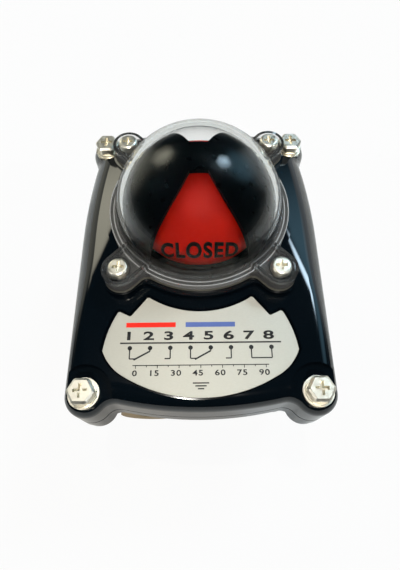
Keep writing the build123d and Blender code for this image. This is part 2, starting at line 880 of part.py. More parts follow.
with BuildPart() as indicator_hub:
    with BuildSketch(Plane.XY.offset(indicator_seat_z)):
        Circle(sector_inner - sector_gap)
    extrude(amount=hub_disc)
    with BuildSketch(Plane.XY.offset(indicator_seat_z)):
        Circle(neck_radius + 3.0)
    extrude(amount=3.4)
    with BuildSketch(Plane.XY.offset(indicator_seat_z)):
        Circle(neck_radius + 0.03)
        Rectangle(2 * neck_radius + 1, 2 * (neck_radius - 1.57), mode=Mode.INTERSECT)
    extrude(amount=3.1, mode=Mode.SUBTRACT)
    with Locations((0, 0, indicator_seat_z + 3.4)):
        Hole(m3 + 0.2)

indicator_screw = pan_screws(
    [(0, 0)],
    indicator_seat_z + 3.4,
    indicator_seat_z - 5.0,
    m3 - thread_gap,
    2.8,
    2.0,
)


def indicator_shell():
    """The whole domed shell of the indicator, before it is divided into colours."""
    with BuildPart() as shell:
        with BuildSketch(Plane.XZ):
            with BuildLine():
                CenterArc((0, dome_centre_z), rotor_radius, 0, 90)
                Line((0, dome_centre_z + rotor_radius), (0, dome_centre_z + sector_inner))
                CenterArc((0, dome_centre_z), sector_inner, 0, 90)
                Line((sector_inner, dome_centre_z), (sector_inner, rotor_skirt_z))
                Line((sector_inner, rotor_skirt_z), (rotor_radius, rotor_skirt_z))
                Line((rotor_radius, rotor_skirt_z), (rotor_radius, dome_centre_z))
            make_face()
        revolve(axis=Axis.Z)
    return shell.part


def sectors(first_angle):
    """Two opposite quarters of the indicator's shell."""
    reach = rotor_radius + 2
    with BuildPart() as quarters:
        add(indicator_shell())
        with BuildSketch(Plane.XY.offset(rotor_skirt_z)):
            for angle in (first_angle, first_angle + 180):
                with BuildLine():
                    Polyline(
                        on_circle((0, 0), sector_gap, angle),
                        on_circle((0, 0), 2 * reach, angle - 45 + 0.1),
                        on_circle((0, 0), 2 * reach, angle + 45 - 0.1),
                        close=True,
                    )
                make_face()
        extrude(amount=2 * reach, mode=Mode.INTERSECT)
    return quarters


red_sectors = sectors(90)
yellow_sectors = sectors(0)

# ---- microswitches ------------------------------------------------------------------------

switch_right_x = switch_left_x + switch_length
switch_bottom_y = switch_top_y - switch_height
switch_hole = m3 + 0.1
switch_hole_inset = 2.8
hole_left_x = switch_left_x + switch_hole_inset
hole_right_x = switch_right_x - switch_hole_inset
switch_hole_y = switch_bottom_y + switch_hole_inset
lever_width = 4.4
cheek_gap = 0.15
cheek_width = 1.5
lever_pin = 0.6
eye_radius = 1.1
plunger_radius = 1.0
plunger_tip = strip_thickness / 2 + 0.12
plunger_stroke = plunger_arm * tan(radians(lever_swing))
tab_places = [switch_left_x + 6.9 + 7.0 * tab for tab in range(3)]
tab_length = 5.5
tab_width = 4.75
tab_thickness = 0.5


def switch_body(centre_z):
    """A moulded microswitch case with two cheeks that hold the lever's pin."""
    with BuildPart() as case:
        with BuildSketch(Plane.XY.offset(centre_z)):
            with Locations((switch_left_x + switch_length / 2, switch_top_y - switch_height / 2)):
                Rectangle(switch_length, switch_height)
        extrude(amount=switch_thickness / 2, both=True)
        chamfer(case.edges().filter_by(Axis.Z), length=0.6)
        with BuildSketch(Plane.XY.offset(centre_z)):
            with Locations((pivot_x, pivot_y)):
                Circle(1.5)
            with Locations((pivot_x, pivot_y - pivot_height)):
                Rectangle(3.0, 2 * pivot_height)
        extrude(amount=lever_width / 2 + cheek_gap + cheek_width, both=True)
        with BuildSketch(Plane.XY.offset(centre_z)):
            with Locations((pivot_x + 0.5, pivot_y + 0.3)):
                Rectangle(5.0, 2 * pivot_height + 0.4)
        extrude(amount=lever_width / 2 + cheek_gap, both=True, mode=Mode.SUBTRACT)
        with BuildSketch(Plane.XY.offset(centre_z)):
            with Locations((pivot_x, pivot_y)):
                Circle(lever_pin + 0.02)
            with Locations((hole_left_x, switch_hole_y), (hole_right_x, switch_hole_y)):
                Circle(switch_hole)
        extrude(amount=switch_thickness / 2, both=True, mode=Mode.SUBTRACT)
        with BuildSketch(Plane.XZ.offset(-switch_top_y)):
            with Locations((pivot_x + plunger_arm, centre_z)):
                Circle(plunger_radius + running_gap)
        extrude(amount=5.0, mode=Mode.SUBTRACT)
    return case


def switch_plunger(centre_z, raised):
    """The button that the lever presses, drawn as far out as the lever lets it."""
    tip_y = pivot_y - plunger_tip + raised
    with BuildPart() as button:
        with BuildSketch(Plane.XZ.offset(-tip_y)):
            with Locations((pivot_x + plunger_arm, centre_z)):
                Circle(plunger_radius)
        extrude(amount=3.6)
        fillet(button.faces().sort_by(Axis.Y)[-1].edges(), radius=0.6)
    return button


def lever_plane(centre_z, swing):
    """The plane of a lever: its origin on the pivot, its X axis along the strip."""
    return Plane(
        origin=(pivot_x, pivot_y, centre_z),
        x_dir=(cos(radians(swing)), sin(radians(swing)), 0),
        z_dir=(0, 0, 1),
    )


def switch_lever(centre_z, swing):
    """A hinge lever: an eye on the pin, the strip, and a fork for the roller."""
    fork = roller_width / 2 + 0.1
    with BuildPart() as lever:
        with BuildSketch(lever_plane(centre_z, swing)):
            Circle(eye_radius)
            with Locations((lever_arm / 2 + 0.8, 0)):
                Rectangle(lever_arm + 1.6, strip_thickness)
            Circle(lever_pin + running_gap, mode=Mode.SUBTRACT)
        extrude(amount=lever_width / 2, both=True)
        with BuildSketch(lever_plane(centre_z, swing)):
            with Locations((lever_arm, lever_rise)):
                Circle(1.3)
            with Locations((lever_arm, lever_rise / 2)):
                Rectangle(2.6, lever_rise + strip_thickness / 2)
            with Locations((lever_arm, lever_rise)):
                Circle(0.7, mode=Mode.SUBTRACT)
        extrude(amount=fork + 0.5, both=True)
        with BuildSketch(lever_plane(centre_z, swing)):
            with Locations((lever_arm, lever_rise)):
                Rectangle(2 * roller_radius + 1.0, 2 * roller_radius + 0.3)
        extrude(amount=fork, both=True, mode=Mode.SUBTRACT)
    return lever


def lever_round(centre_z, swing, outer, inner, width):
    """A turned piece on the roller's axis, such as the roller or its pin."""
    with BuildPart() as piece:
        with BuildSketch(lever_plane(centre_z, swing)):
            with Locations((lever_arm, lever_rise)):
                Circle(outer)
                if inner:
                    Circle(inner, mode=Mode.SUBTRACT)
        extrude(amount=width / 2, both=True)
    return piece


pin_length = roller_width + 1.6
closed_switch_body = switch_body(lower_switch_z)
open_switch_body = switch_body(upper_switch_z)
closed_switch_plunger = switch_plunger(lower_switch_z, 0.0)
open_switch_plunger = switch_plunger(upper_switch_z, plunger_stroke)
closed_switch_lever = switch_lever(lower_switch_z, 0.0)
open_switch_lever = switch_lever(upper_switch_z, lever_swing)
closed_switch_roller = lever_round(lower_switch_z, 0.0, roller_radius, 0.75, roller_width)
open_switch_roller = lever_round(upper_switch_z, lever_swing, roller_radius, 0.75, roller_width)
closed_roller_pin = lever_round(lower_switch_z, 0.0, 0.68, 0.0, pin_length)
open_roller_pin = lever_round(upper_switch_z, lever_swing, 0.68, 0.0, pin_length)

with BuildPart() as lever_pins:
    for centre_z in (lower_switch_z, upper_switch_z):
        with BuildSketch(Plane.XY.offset(centre_z)):
            with Locations((pivot_x, pivot_y)):
                Circle(lever_pin)
        extrude(amount=lever_width / 2 + cheek_gap + cheek_width, both=True)

with BuildPart() as switch_tabs:
    for centre_z in (lower_switch_z, upper_switch_z):
        with BuildSketch(Plane.XZ.offset(-switch_bottom_y)):
            with Locations(*[(x, centre_z) for x in tab_places]):
                Rectangle(tab_thickness, tab_width)
        extrude(amount=tab_length)

with BuildPart() as switch_insulator:
    with BuildSketch(Plane.XY.offset(lower_switch_z + switch_thickness / 2)):
        with Locations((switch_left_x + switch_length / 2, switch_top_y - switch_height / 2 - 0.5)):
            Rectangle(switch_length + 2.0, switch_height)
        with Locations((hole_left_x, switch_hole_y), (hole_right_x, switch_hole_y)):
            Circle(switch_hole, mode=Mode.SUBTRACT)
    extrude(amount=insulator)

# ---- bracket under the switches -----------------------------------------------------------

plate_top_z = plate_z + plate_thickness
plate_front_y = plate_post_y - 4.5
plate_rear_y = -20.0
plate_left_x = plate_post_x[0] - 4.5
plate_right_x = plate_post_x[1] + 4.5
switch_screw_places = [(hole_left_x, switch_hole_y), (hole_right_x, switch_hole_y)]
post_places = [(x, plate_post_y) for x in plate_post_x]

with BuildPart() as switch_bracket:
    with BuildSketch(Plane.XY.offset(plate_z)):
        with Locations(
            ((plate_left_x + plate_right_x) / 2, (plate_front_y + plate_rear_y) / 2)
        ):
            RectangleRounded(plate_right_x - plate_left_x, plate_rear_y - plate_front_y, 3.0)
        with Locations(*post_places):
            Circle(m3 + hole_gap, mode=Mode.SUBTRACT)
        with Locations(*switch_screw_places):
            Circle(m3 + 0.1, mode=Mode.SUBTRACT)
    extrude(amount=plate_thickness)

bracket_screws = pan_screws(post_places, plate_top_z, plate_z - 5.0, m3 - thread_gap, 2.8, 2.0)
switch_screws = pan_screws(
    switch_screw_places,
    upper_switch_z + switch_thickness / 2,
    plate_z - 3.0,
    m3 - thread_gap,
    2.8,
    2.0,
)

with BuildPart() as switch_nuts:
    with BuildSketch(Plane.XY.offset(plate_z)):
        with Locations(*switch_screw_places):
            RegularPolygon(2.75, 6, major_radius=False)
            Circle(m3, mode=Mode.SUBTRACT)
    extrude(amount=-2.4)

# ---- terminal strip -----------------------------------------------------------------------

strip_rear_y = strip_front_y + strip_width
strip_base = 6.0
barrier_height = 12.0
bar_width = pole_pitch - barrier - 0.4
bar_thickness = 0.8
terminal_inset = 3.2
pole_places = [(pole - (pole_count - 1) / 2) * pole_pitch for pole in range(pole_count)]
terminal_places = [
    (x, y)
    for x in pole_places
    for y in (strip_front_y + terminal_inset, strip_rear_y - terminal_inset)
]
strip_screw_places = [(-strip_post_x, strip_centre_y), (strip_post_x, strip_centre_y)]
bar_z = strip_z + strip_base

with BuildPart() as terminal_strip:
    with BuildSketch(Plane.XY.offset(strip_z)):
        with Locations((0, strip_centre_y)):
            Rectangle(strip_length, strip_width)
    extrude(amount=barrier_height)
    with BuildSketch(Plane.XY.offset(bar_z)):
        with Locations(*[(x, strip_centre_y) for x in pole_places]):
            Rectangle(pole_pitch - barrier, strip_width)
    extrude(amount=barrier_height, mode=Mode.SUBTRACT)
    with BuildSketch(Plane.XY.offset(strip_z)):
        for side in (-1, 1):
            with Locations((side * (strip_length + ear_length) / 2, strip_centre_y)):
                Rectangle(ear_length, 8.0)
    extrude(amount=3.0)
    with BuildSketch(Plane.XY.offset(strip_z)):
        with Locations(*strip_screw_places):
            Circle(m3 + 0.2)
    extrude(amount=3.0, mode=Mode.SUBTRACT)
    with Locations(*[(x, y, bar_z) for x, y in terminal_places]):
        Hole(m3, depth=4.5)

with BuildPart() as terminal_bars:
    with BuildSketch(Plane.XY.offset(bar_z)):
        with Locations(*[(x, strip_centre_y) for x in pole_places]):
            Rectangle(bar_width, strip_width - 1.0)
        with Locations(*terminal_places):
            Circle(m3, mode=Mode.SUBTRACT)
    extrude(amount=bar_thickness)

with BuildPart() as terminal_screws:
    with BuildSketch(Plane.XY.offset(bar_z - 4.0)):
        with Locations(*terminal_places):
            Circle(m3 - thread_gap)
    extrude(amount=4.0 + bar_thickness)
    with BuildSketch(Plane.XY.offset(bar_z + bar_thickness)):
        with Locations(*terminal_places):
            Circle(2.4)
    extrude(amount=1.8)
    with BuildSketch(Plane.XY.offset(bar_z + bar_thickness + 1.8)):
        with Locations(*terminal_places):
            Rectangle(6.0, 0.7)
    extrude(amount=-0.9, mode=Mode.SUBTRACT)

strip_screws = pan_screws(
    strip_screw_places,
    strip_z + 3.0,
    strip_z - 6.5,
    m3 - thread_gap,
    2.8,
    2.0,
)

# ---- leads from the switches to the strip -------------------------------------------------

lead_radius = 0.8
lead_bend = 1.4
lead_z = bar_z + bar_thickness + lead_radius + 0.1
tab_end_y = switch_bottom_y - tab_length
lead_end_y = strip_rear_y - terminal_inset + 2.5


def lead(tab_x, tab_z, run_y, pole_x):
    """One insulated lead: out of its tab, across, up to its pole's height and into the pole."""
    with BuildPart() as wire:
        with BuildLine():
            FilletPolyline(
                (tab_x, tab_end_y, tab_z),
                (tab_x, run_y, tab_z),
                (pole_x, run_y, lead_z),
                (pole_x, lead_end_y, lead_z),
                radius=lead_bend,
            )
        with BuildSketch(Plane(origin=(tab_x, tab_end_y, tab_z), z_dir=(0, -1, 0))):
            Circle(lead_radius)
        sweep()
    return wire.part


with BuildPart() as switch_leads:
    for place, tab_x in enumerate(tab_places):
        add(lead(tab_x, lower_switch_z, tab_end_y - 4.0, pole_places[place]))
        add(lead(tab_x, upper_switch_z, tab_end_y - 2.2, pole_places[place + 4]))

# ---- earth screw and blanking plug --------------------------------------------------------

earth_screw = pan_screws([earth_place], earth_post_z, earth_post_z - 5.0, m4 - thread_gap, 3.8, 2.6)

plug_seat_y = body_front_y - entry_boss
plug_seal_thickness = 0.6
plug_head_y = plug_seat_y - plug_seal_thickness

with BuildPart() as blanking_plug:
    with BuildSketch(Plane.XZ.offset(-plug_head_y)):
        with Locations((-entry_x, entry_z)):
            Circle(entry_radius + 2.2)
    extrude(amount=1.4)
    with BuildSketch(Plane.XZ.offset(-plug_head_y)):
        with Locations((-entry_x, entry_z)):
            Circle(entry_radius - 0.1)
    extrude(amount=-(plug_seal_thickness + 4.5))
    with BuildSketch(Plane.XZ.offset(-plug_head_y + 1.4)):
        with Locations((-entry_x, entry_z)):
            RegularPolygon(5.0, 6, major_radius=False)
    extrude(amount=-4.4, mode=Mode.SUBTRACT)

with BuildPart() as plug_seal:
    with BuildSketch(Plane.XZ.offset(-plug_seat_y)):
        with Locations((-entry_x, entry_z)):
            Circle(entry_radius + 1.8)
            Circle(entry_radius, mode=Mode.SUBTRACT)
    extrude(amount=plug_seal_thickness)

# ---- write the pieces ---------------------------------------------------------------------

pieces = {
    "base_housing": base_housing,
    "cover": cover,
    "cover_gasket": cover_gasket,
    "cover_screws": cover_screws,
    "cover_washers": cover_washers,
    "cover_spring_washers": cover_spring_washers,
    "nameplate": nameplate,
    "dome": dome,
    "dome_gasket": dome_gasket,
    "dome_screws": dome_screws,
    "indicator_mask": indicator_mask,
    "indicator_hub": indicator_hub,
    "indicator_screw": indicator_screw,
    "red_sectors": red_sectors,
    "yellow_sectors": yellow_sectors,
    "shaft": shaft,
    "shaft_bush": shaft_bush,
    "upper_bush": upper_bush,
    "shaft_o_rings": shaft_o_rings,
    "thrust_washer": thrust_washer,
    "shaft_clip": shaft_clip,
    "cam_hub": cam_hub,
    "hub_pin": hub_pin,
    "closed_cam": closed_cam,
    "open_cam": open_cam,
    "cam_spring": cam_spring,
    "cam_snap_ring": cam_snap_ring,
    "switch_bracket": switch_bracket,
    "bracket_screws": bracket_screws,
    "closed_switch_body": closed_switch_body,
    "open_switch_body": open_switch_body,
    "closed_switch_plunger": closed_switch_plunger,
    "open_switch_plunger": open_switch_plunger,
    "closed_switch_lever": closed_switch_lever,
    "open_switch_lever": open_switch_lever,
    "closed_switch_roller": closed_switch_roller,
    "open_switch_roller": open_switch_roller,
    "closed_roller_pin": closed_roller_pin,
    "open_roller_pin": open_roller_pin,
    "lever_pins": lever_pins,
    "switch_tabs": switch_tabs,
    "switch_insulator": switch_insulator,
    "switch_screws": switch_screws,
    "switch_nuts": switch_nuts,
    "terminal_strip": terminal_strip,
    "terminal_bars": terminal_bars,
    "terminal_screws": terminal_screws,
    "strip_screws": strip_screws,
    "switch_leads": switch_leads,
    "earth_screw": earth_screw,
    "blanking_plug": blanking_plug,
    "plug_seal": plug_seal,
}

os.makedirs("parts", exist_ok=True)
for name, piece in pieces.items():
    piece.part.label = name
    export_step(piece.part, f"parts/{name}.step")
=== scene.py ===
import json
from math import copysign, cos, pi, radians, sin, sqrt

import bmesh
import bpy
from mathutils import Matrix, Vector


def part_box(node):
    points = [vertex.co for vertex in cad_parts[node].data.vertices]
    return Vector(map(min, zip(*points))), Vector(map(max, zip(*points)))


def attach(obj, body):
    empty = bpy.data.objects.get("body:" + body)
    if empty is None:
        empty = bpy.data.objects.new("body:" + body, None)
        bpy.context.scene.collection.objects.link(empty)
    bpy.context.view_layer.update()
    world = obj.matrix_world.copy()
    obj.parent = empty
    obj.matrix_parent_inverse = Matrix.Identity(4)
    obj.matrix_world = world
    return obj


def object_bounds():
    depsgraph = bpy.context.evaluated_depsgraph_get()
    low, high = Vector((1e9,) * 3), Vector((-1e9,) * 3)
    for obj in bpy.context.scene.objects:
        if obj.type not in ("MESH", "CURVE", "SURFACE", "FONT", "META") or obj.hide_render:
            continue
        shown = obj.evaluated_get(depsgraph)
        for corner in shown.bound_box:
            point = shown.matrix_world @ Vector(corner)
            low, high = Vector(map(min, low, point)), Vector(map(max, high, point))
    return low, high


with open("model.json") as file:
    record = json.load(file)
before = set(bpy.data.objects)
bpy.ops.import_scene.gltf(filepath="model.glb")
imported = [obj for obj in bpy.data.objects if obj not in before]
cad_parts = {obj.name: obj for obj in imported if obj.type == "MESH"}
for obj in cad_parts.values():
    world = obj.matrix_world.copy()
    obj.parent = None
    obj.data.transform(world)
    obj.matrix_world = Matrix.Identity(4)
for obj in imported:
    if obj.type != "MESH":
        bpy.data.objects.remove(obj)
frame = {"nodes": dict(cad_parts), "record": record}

# Valve limit switch box, dressed for rendering. Everything is in metres in the CAD's frame:
# the origin on the shaft's axis at the mounting face, +Z up, -Y towards the nameplate.

MM = 0.001
cad_box = [list(corner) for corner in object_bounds()]
nodes = frame["nodes"]

HEAD_ABOVE_EAR = 1.5 * MM
screw_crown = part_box("dome_screws")[1]
EAR_TOP = screw_crown.z - HEAD_ABOVE_EAR

# ---- material helpers ---------------------------------------------------------------------


def start_material(name):
    """A node material with a Principled shader; returns the material, its tree and the shader."""
    material = bpy.data.materials.new(name)
    material.use_nodes = True
    tree = material.node_tree
    return material, tree, tree.nodes["Principled BSDF"]


def noise(tree, scale, detail=3.0, stretch=(1, 1, 1)):
    """Noise over the object's own coordinates; scale is in features per metre."""
    place = tree.nodes.new("ShaderNodeTexCoord")
    mapping = tree.nodes.new("ShaderNodeMapping")
    mapping.inputs["Scale"].default_value = stretch
    texture = tree.nodes.new("ShaderNodeTexNoise")
    texture.inputs["Scale"].default_value = scale
    texture.inputs["Detail"].default_value = detail
    tree.links.new(place.outputs["Object"], mapping.inputs["Vector"])
    tree.links.new(mapping.outputs["Vector"], texture.inputs["Vector"])
    return texture.outputs["Fac"]


def spread(tree, factor, low, high, start=0.3, end=0.7):
    """A noise factor spread between two values."""
    ramp = tree.nodes.new("ShaderNodeMapRange")
    ramp.inputs["From Min"].default_value = start
    ramp.inputs["From Max"].default_value = end
    ramp.inputs["To Min"].default_value = low
    ramp.inputs["To Max"].default_value = high
    tree.links.new(factor, ramp.inputs["Value"])
    return ramp.outputs["Result"]


def tint(tree, factor, first, second):
    """A colour that wanders between two colours."""
    mix = tree.nodes.new("ShaderNodeMix")
    mix.data_type = "RGBA"
    mix.inputs["A"].default_value = (*first, 1)
    mix.inputs["B"].default_value = (*second, 1)
    tree.links.new(factor, mix.inputs["Factor"])
    return mix.outputs["Result"]


def bump(tree, shader, height, strength, distance):
    """Fine relief on the shader's normal."""
    relief = tree.nodes.new("ShaderNodeBump")
    relief.inputs["Strength"].default_value = strength
    relief.inputs["Distance"].default_value = distance
    tree.links.new(height, relief.inputs["Height"])
    tree.links.new(relief.outputs["Normal"], shader.inputs["Normal"])


# ---- materials ----------------------------------------------------------------------------


FLANK_X = 30.0 * MM
FLANK_NARROWING = 0.29
FLANK_SLOPE = 0.34
FLANK_BLEND = 4.0 * MM
PEEL_HEIGHT = 0.004 * MM


def math_node(tree, operation, *values):
    """A math node fed with sockets or constants."""
    step = tree.nodes.new("ShaderNodeMath")
    step.operation = operation
    for socket, value in zip(step.inputs, values):
        if isinstance(value, (int, float)):
            socket.default_value = value
        else:
            tree.links.new(value, socket)
    return step.outputs[0]


def flank_fall(tree):
    """How far the cast top falls away outside its two shoulder lines, plus the paint's peel."""
    place = tree.nodes.new("ShaderNodeTexCoord")
    split = tree.nodes.new("ShaderNodeSeparateXYZ")
    tree.links.new(place.outputs["Object"], split.inputs[0])
    aside = math_node(tree, "ABSOLUTE", split.outputs["X"])
    ahead = math_node(tree, "MULTIPLY", split.outputs["Y"], FLANK_NARROWING)
    beyond = math_node(tree, "SUBTRACT", math_node(tree, "ADD", aside, ahead), FLANK_X)
    outside = math_node(tree, "SMOOTH_MAX", beyond, 0.0, FLANK_BLEND)
    fall = math_node(tree, "MULTIPLY", outside, -FLANK_SLOPE)
    peel = math_node(tree, "MULTIPLY", noise(tree, 300, 1.0), PEEL_HEIGHT)
    return math_node(tree, "ADD", fall, peel)


def enamel():
    """Thick gloss black enamel on a casting: a faint orange peel, a little dust, and a faint blue
    in the black that is a painted reflection tint.
    """
    material, tree, shader = start_material("black_enamel")
    dust = spread(tree, noise(tree, 2600, 2.0), 0.0, 0.25, 0.68, 0.80)
    # The blue in the black base is painted reflection, standing in for the navy cast mirrored in
    # the gloss; the lighter grey spots are dust.
    tree.links.new(tint(tree, dust, (0.0012, 0.0028, 0.0045), (0.03, 0.035, 0.04)),
                   shader.inputs["Base Color"])
    tree.links.new(spread(tree, noise(tree, 60), 0.05, 0.10), shader.inputs["Roughness"])
    shader.inputs["Specular IOR Level"].default_value = 0.5
    bump(tree, shader, flank_fall(tree), 1.0, 1.0)
    return material


def plate_silver():
    """A satin printed aluminium plate with very fine brushing along its length."""
    material, tree, shader = start_material("satin_plate")
    brushing = noise(tree, 900, 2.0, (1, 14, 1))
    tree.links.new(tint(tree, brushing, (0.44, 0.42, 0.36), (0.58, 0.56, 0.49)),
                   shader.inputs["Base Color"])
    tree.links.new(spread(tree, brushing, 0.40, 0.52), shader.inputs["Roughness"])
    shader.inputs["Metallic"].default_value = 0.6
    bump(tree, shader, brushing, 0.06, 0.0002)
    return material


def metal(name, first, second, rough, scale=500, wear=0.05, metallic=1.0):
    """A metal whose colour and gloss wander a little, with small marks of handling."""
    material, tree, shader = start_material(name)
    grain = noise(tree, scale, 4.0)
    tree.links.new(tint(tree, grain, first, second), shader.inputs["Base Color"])
    tree.links.new(spread(tree, grain, rough - 0.06, rough + 0.08), shader.inputs["Roughness"])
    shader.inputs["Metallic"].default_value = metallic
    bump(tree, shader, noise(tree, scale * 3, 2.0), wear, 0.0003)
    return material


def moulded(name, first, second, rough, relief=0.05, scale=350, coat=0.0, sheen=0.5):
    """Moulded plastic: colour a touch uneven, a fine skin, glossy or matte."""
    material, tree, shader = start_material(name)
    shader.inputs["Specular IOR Level"].default_value = sheen
    cloud = noise(tree, scale * 0.3, 3.0)
    tree.links.new(tint(tree, cloud, first, second), shader.inputs["Base Color"])
    tree.links.new(spread(tree, noise(tree, scale), rough - 0.04, rough + 0.06),
                   shader.inputs["Roughness"])
    shader.inputs["Coat Weight"].default_value = coat
    shader.inputs["Coat Roughness"].default_value = 0.05
    bump(tree, shader, noise(tree, scale * 4, 2.0), relief, 0.0002)
    return material


# The milky haze of flange and ears is painted highlight: it lightens them as their bright rims and
# light seen through them would.
EAR_HIGHLIGHT_HAZE = 0.09
# The two rings are painted highlights: milky bands that stand in for bright arcs of light on the
# flange.
RING_HIGHLIGHT_HAZE = 0.38
RING_RADII = (31.0 * MM, 32.4 * MM)
RING_HALF_WIDTH = 0.3 * MM


def painted_highlight_rings(tree, split):
    """1 on two thin rings round the foot of the dome, where bright arcs of light are painted in as
    milky bands.
    """
    across = math_node(tree, "MULTIPLY", split.outputs["X"], split.outputs["X"])
    along = math_node(tree, "MULTIPLY", split.outputs["Y"], split.outputs["Y"])
    radius = math_node(tree, "SQRT", math_node(tree, "ADD", across, along))
    rings = 0.0
    for ring in RING_RADII:
        away = math_node(tree, "ABSOLUTE", math_node(tree, "SUBTRACT", radius, ring))
        band = spread(tree, away, 1, 0, RING_HALF_WIDTH * 0.4, RING_HALF_WIDTH)
        rings = math_node(tree, "MAXIMUM", rings, band)
    return rings


def clear_plastic():
    """Clear polycarbonate: the dome is glassy; the flange and ears get a streaky milky haze and two
    thin milky rings, painted highlights standing in for their bright rims and arcs.
    """
    material, tree, shader = start_material("clear_dome")
    shader.inputs["Base Color"].default_value = (0.93, 0.94, 0.93, 1)
    shader.inputs["IOR"].default_value = 1.2
    place = tree.nodes.new("ShaderNodeTexCoord")
    split = tree.nodes.new("ShaderNodeSeparateXYZ")
    tree.links.new(place.outputs["Object"], split.inputs[0])
    # Below the ear tops the plastic turns milky in streaks and two rings: painted highlight, not a
    # real haze.
    low = spread(tree, split.outputs["Z"], 1, 0, EAR_TOP - 0.4 * MM, EAR_TOP + 0.2 * MM)
    painted_streaks = spread(tree, noise(tree, 260, 1.0, (1, 1, 0.2)), 0.8, 1.0, 0.40, 0.60)
    highlight_arcs = math_node(tree, "MULTIPLY", painted_highlight_rings(tree, split), RING_HIGHLIGHT_HAZE)
    cloud = math_node(tree, "MAXIMUM", math_node(tree, "MULTIPLY", painted_streaks, EAR_HIGHLIGHT_HAZE), highlight_arcs)
    painted_haze = math_node(tree, "MULTIPLY", low, cloud)
    tree.links.new(math_node(tree, "SUBTRACT", 1.0, painted_haze), shader.inputs["Transmission Weight"])
    shader.inputs["Roughness"].default_value = 0
    return material


def ink():
    """Black print, a little uneven at its edges."""
    return moulded("black_ink", (0.006, 0.005, 0.005), (0.012, 0.011, 0.011), 0.6, 0.02, 1500)


materials = {
    "black_enamel": enamel(),
    "satin_plate": plate_silver(),
    "bright_steel": metal("bright_steel", (0.80, 0.76, 0.64), (0.90, 0.86, 0.75), 0.36, 700, 0.03),
    "shaft_steel": metal("shaft_steel", (0.50, 0.50, 0.49), (0.66, 0.66, 0.64), 0.28, 900),
    "clear_dome": clear_plastic(),
    "black_plastic": moulded("black_plastic", (0.0008, 0.0026, 0.0034), (0.0016, 0.004, 0.005),
                             0.30, 0.0, sheen=0.15),
    "red_plastic": moulded("red_plastic", (0.84, 0.012, 0.004), (0.95, 0.020, 0.005),
                           0.46, 0.02, sheen=0.25),
    "yellow_plastic": moulded("yellow_plastic", (0.80, 0.50, 0.02), (0.90, 0.62, 0.05), 0.34,
                              coat=0.3),
    "seal_rubber": moulded("seal_rubber", (0.10, 0.095, 0.075), (0.16, 0.15, 0.12), 0.42, 0.1),
    "bronze": metal("bronze", (0.46, 0.30, 0.14), (0.62, 0.43, 0.22), 0.42, 1500, 0.2),
    "brass": metal("brass", (0.26, 0.17, 0.07), (0.40, 0.28, 0.12), 0.38),
    "spring_steel": metal("spring_steel", (0.42, 0.42, 0.42), (0.58, 0.57, 0.55), 0.34),
    "switch_plastic": moulded("switch_plastic", (0.05, 0.05, 0.055), (0.09, 0.09, 0.095), 0.5, 0.2),
    "white_plastic": moulded("white_plastic", (0.76, 0.75, 0.70), (0.86, 0.85, 0.80), 0.4),
    "insulator_sheet": moulded("insulator_sheet", (0.38, 0.20, 0.08), (0.52, 0.32, 0.15), 0.55,
                               0.2),
    "lead_sleeve": moulded("lead_sleeve", (0.05, 0.09, 0.32), (0.08, 0.14, 0.42), 0.38),
}
print_ink = ink()

for piece in frame["record"]["subparts"]:
    node = nodes[piece["node"]]
    node.data.materials.clear()
    node.data.materials.append(materials[piece["material_slot"]])

SMOOTH_ANGLE = radians(32)
EDGE_WIDTHS = {"dome": 0.25 * MM, "nameplate": 0.08 * MM, "base_housing": 0.3 * MM}


def soften(node, width):
    """Smooth shading with real edges kept, and a fine rounding where light should catch."""
    node.data.shade_smooth()
    node.data.set_sharp_from_angle(angle=SMOOTH_ANGLE)
    if width:
        edge = node.modifiers.new("edge", "BEVEL")
        edge.width = width
        edge.segments = 2
        edge.limit_method = "ANGLE"
        edge.angle_limit = SMOOTH_ANGLE


for name, node in nodes.items():
    soften(node, EDGE_WIDTHS.get(name, 0))

# ---- lettering on the indicator -----------------------------------------------------------

sector_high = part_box("red_sectors")[1]
sector_radius = sector_high.y
sector_centre = Vector((0, 0, sector_high.z - sector_radius))
LETTER_LIFT = 0.06 * MM
LETTER_SPACING = 1.15
LETTER_WEIGHT = 0.042
LETTER_SAG = 21.0


def text_mesh(name, words, width, height, weight=0.0):
    """Words as a flat mesh centred on the origin, stretched to a width and a height."""
    font = bpy.data.curves.new(name, "FONT")
    font.body = words
    font.align_x = "CENTER"
    font.align_y = "CENTER"
    font.offset = weight
    font.space_character = LETTER_SPACING
    holder = bpy.data.objects.new(name, font)
    bpy.context.scene.collection.objects.link(holder)
    graph = bpy.context.evaluated_depsgraph_get()
    mesh = bpy.data.meshes.new_from_object(holder.evaluated_get(graph))
    bpy.data.objects.remove(holder)
    xs = [v.co.x for v in mesh.vertices]
    ys = [v.co.y for v in mesh.vertices]
    middle = Vector(((min(xs) + max(xs)) / 2, (min(ys) + max(ys)) / 2, 0))
    scale = (width / (max(xs) - min(xs)), height / (max(ys) - min(ys)), 1)
    mesh.transform(Matrix.Diagonal((*scale, 1)) @ Matrix.Translation(-middle))
    return mesh


def thicken(mesh, thickness):
    """Gives a thin sheet of ink its thickness along its own normals."""
    work = bmesh.new()
    work.from_mesh(mesh)
    bmesh.ops.remove_doubles(work, verts=work.verts, dist=1e-7)
    bmesh.ops.recalc_face_normals(work, faces=work.faces)
    bmesh.ops.solidify(work, geom=work.faces, thickness=thickness)
    work.to_mesh(mesh)
    work.free()


def add_piece(name, mesh, material, body):
    """Links a mesh as a piece of the object that rides on a body."""
    mesh.materials.clear()
    mesh.materials.append(material)
    piece = bpy.data.objects.new(name, mesh)
    bpy.context.scene.collection.objects.link(piece)
    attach(piece, body)
    return piece


